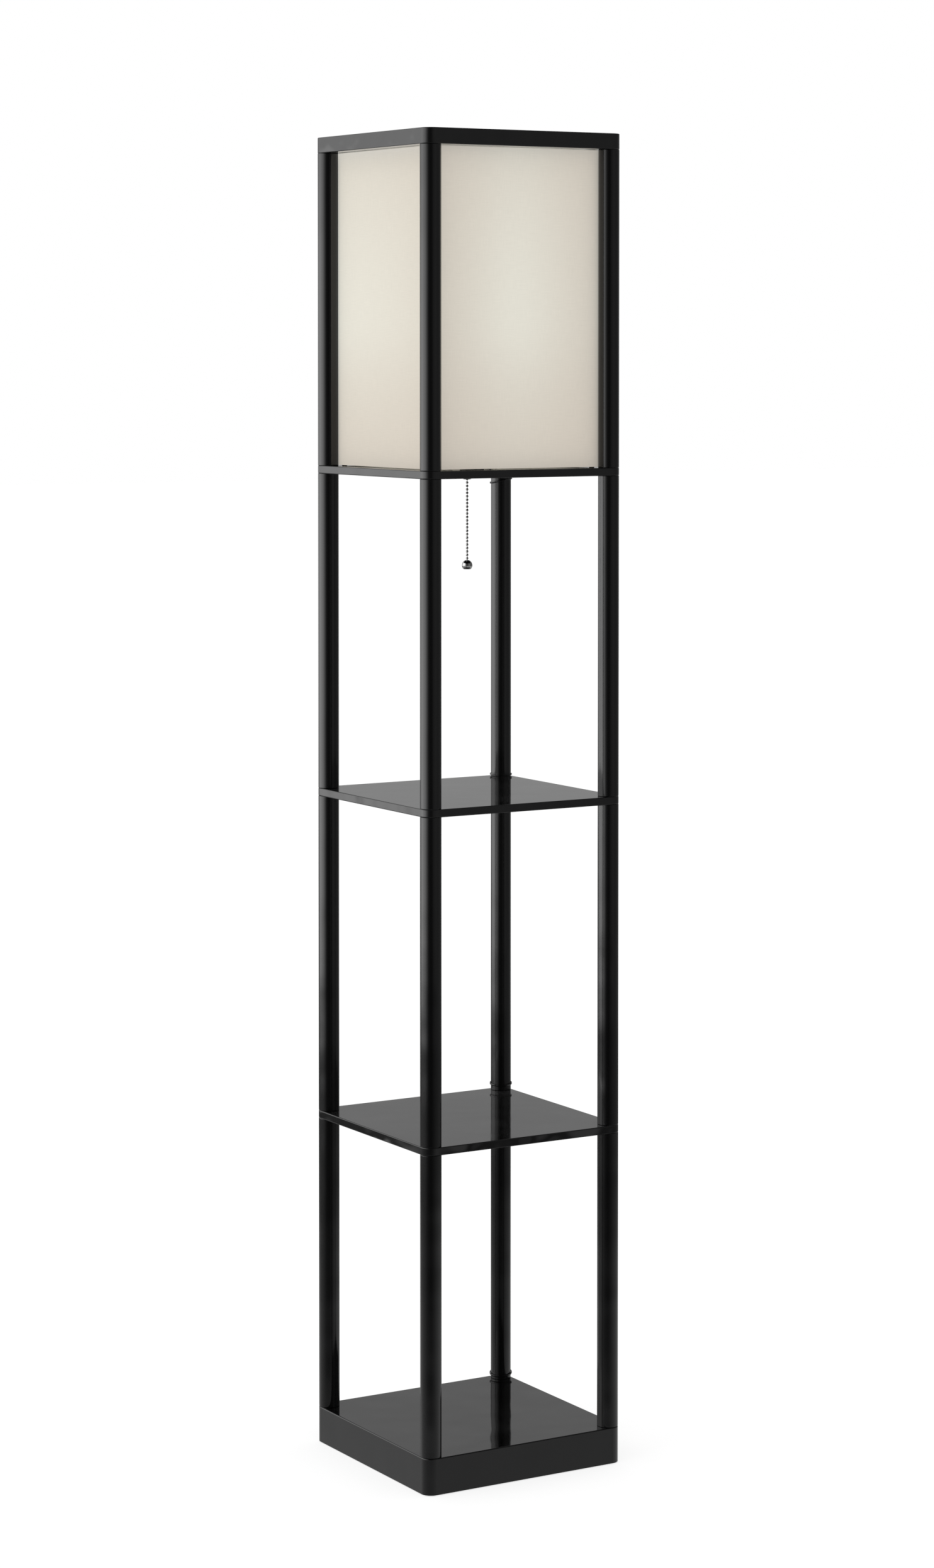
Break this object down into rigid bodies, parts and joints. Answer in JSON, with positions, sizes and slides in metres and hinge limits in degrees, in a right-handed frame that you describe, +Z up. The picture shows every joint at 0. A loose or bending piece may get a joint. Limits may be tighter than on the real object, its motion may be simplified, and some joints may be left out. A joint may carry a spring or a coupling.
{
  "type": "shelf floor lamp",
  "caption": "Square floor lamp with round black posts, open shelves, a weighted base, a top frame, a glowing fabric shade and a pull chain.",
  "frame": {"origin": "on the floor, at the centre of the base", "axes": "+Z up along the posts; -Y is the front, the wide face of the picture; +X to the right seen from the front; the post with the cord ties is at +X +Y"},
  "size_m": [0.273, 0.2746, 1.588],
  "materials": {
    "black_steel": "satin black powder coat",
    "black_board": "fibreboard with a smooth semi-gloss black lacquer",
    "black_screws": "black",
    "black_panel": "matt black",
    "black_rubber": "matt",
    "black_phenolic": "satin",
    "white_phenolic": "smooth",
    "black_nylon": "slightly glossy",
    "cast_iron": "as cast",
    "zinc_steel": "zinc plated",
    "aluminium_shell": "plain",
    "brass": "plain",
    "nickel_chain": "polished nickel",
    "shade_linen": "ivory woven cloth, lit from inside",
    "shade_liner": "translucent white film",
    "white_wire": "white",
    "white_plastic": "smooth",
    "frosted_globe": "frosted white"
  },
  "bodies": {
    "lamp": {"post_bottom_front_left": "black_steel", "post_bottom_front_right": "black_steel", "post_bottom_back_left": "black_steel", "post_bottom_back_right": "black_steel", "post_middle_front_left": "black_steel", "post_middle_front_right": "black_steel", "post_middle_back_left": "black_steel", "post_middle_back_right": "black_steel", "post_upper_front_left": "black_steel", "post_upper_front_right": "black_steel", "post_upper_back_left": "black_steel", "post_upper_back_right": "black_steel", "post_shade_front_left": "black_steel", "post_shade_front_right": "black_steel", "post_shade_back_left": "black_steel", "post_shade_back_right": "black_steel", "base_tray": "black_steel", "base_weight": "cast_iron", "weight_screws": "zinc_steel", "base_cover": "black_panel", "cover_screws": "zinc_steel", "foot_pads": "black_rubber", "base_bolts": "zinc_steel", "tube_nuts": "aluminium_shell", "shelf_studs": "zinc_steel", "lower_shelf": "black_board", "upper_shelf": "black_board", "shade_shelf": "black_board", "top_frame": "black_board", "frame_screws": "black_screws", "shade_fabric": "shade_linen", "shade_liner": "shade_liner", "shade_wires": "white_wire", "shade_rest_blocks": "black_rubber", "lamp_bracket": "zinc_steel", "bracket_screws": "zinc_steel", "threaded_nipple": "zinc_steel", "nipple_locknut": "zinc_steel", "socket_cap": "black_phenolic", "socket_core": "white_phenolic", "socket_shell": "black_phenolic", "socket_screw_shell": "aluminium_shell", "socket_contact": "brass", "switch_case": "black_phenolic", "switch_cover": "black_phenolic", "drum_pin": "zinc_steel", "drum_spring": "zinc_steel", "switch_contacts": "brass", "chain_bell": "nickel_chain", "cord_bushing": "black_nylon", "cord_ties": "black_nylon"},
    "bulb_foot": {"bulb_tip": "brass"},
    "bulb": {"bulb_base": "aluminium_shell", "bulb_housing": "white_plastic", "bulb_globe": "frosted_globe"},
    "switch_drum": {"chain_drum": "white_phenolic"},
    "chain_top": {"chain_head": "nickel_chain"},
    "chain_pivot": {"chain_link": "nickel_chain"},
    "chain": {"pull_chain": "nickel_chain", "chain_ball": "nickel_chain"}
  },
  "joints": [
    {"name": "chain_pull", "type": "slide", "parent": "lamp", "child": "chain_top", "axis": [0, 0, -1], "range_m": [0, 0.012], "stiffness_N_per_m": 400, "springref_m": -0.01},
    {"name": "drum_turn", "type": "hinge", "parent": "lamp", "child": "switch_drum", "pos_m": [0.0079, 0, 1.2042], "axis": [0, -1, 0], "range_deg": [0, 87.1]},
    {"name": "chain_swing_across", "type": "hinge", "parent": "chain_top", "child": "chain_pivot", "pos_m": [0, 0, 1.1729], "axis": [1, 0, 0], "range_deg": [-45, 45]},
    {"name": "chain_swing_along", "type": "hinge", "parent": "chain_pivot", "child": "chain", "pos_m": [0, 0, 1.1729], "axis": [0, 1, 0], "range_deg": [-45, 45]},
    {"name": "bulb_lift", "type": "slide", "parent": "lamp", "child": "bulb_foot", "axis": [0, 0, 1], "range_m": [0, 0.01634]},
    {"name": "bulb_turn", "type": "hinge", "parent": "bulb_foot", "child": "bulb", "pos_m": [0, 0, 1.32], "axis": [0, 0, 1], "range_deg": [0, 1620]}
  ],
  "couplings": [
    {"joint": "drum_turn", "follows": "chain_pull", "rad_per_m": 126.58},
    {"joint": "bulb_lift", "follows": "bulb_turn", "m_per_rad": 0.00057773}
  ]
}
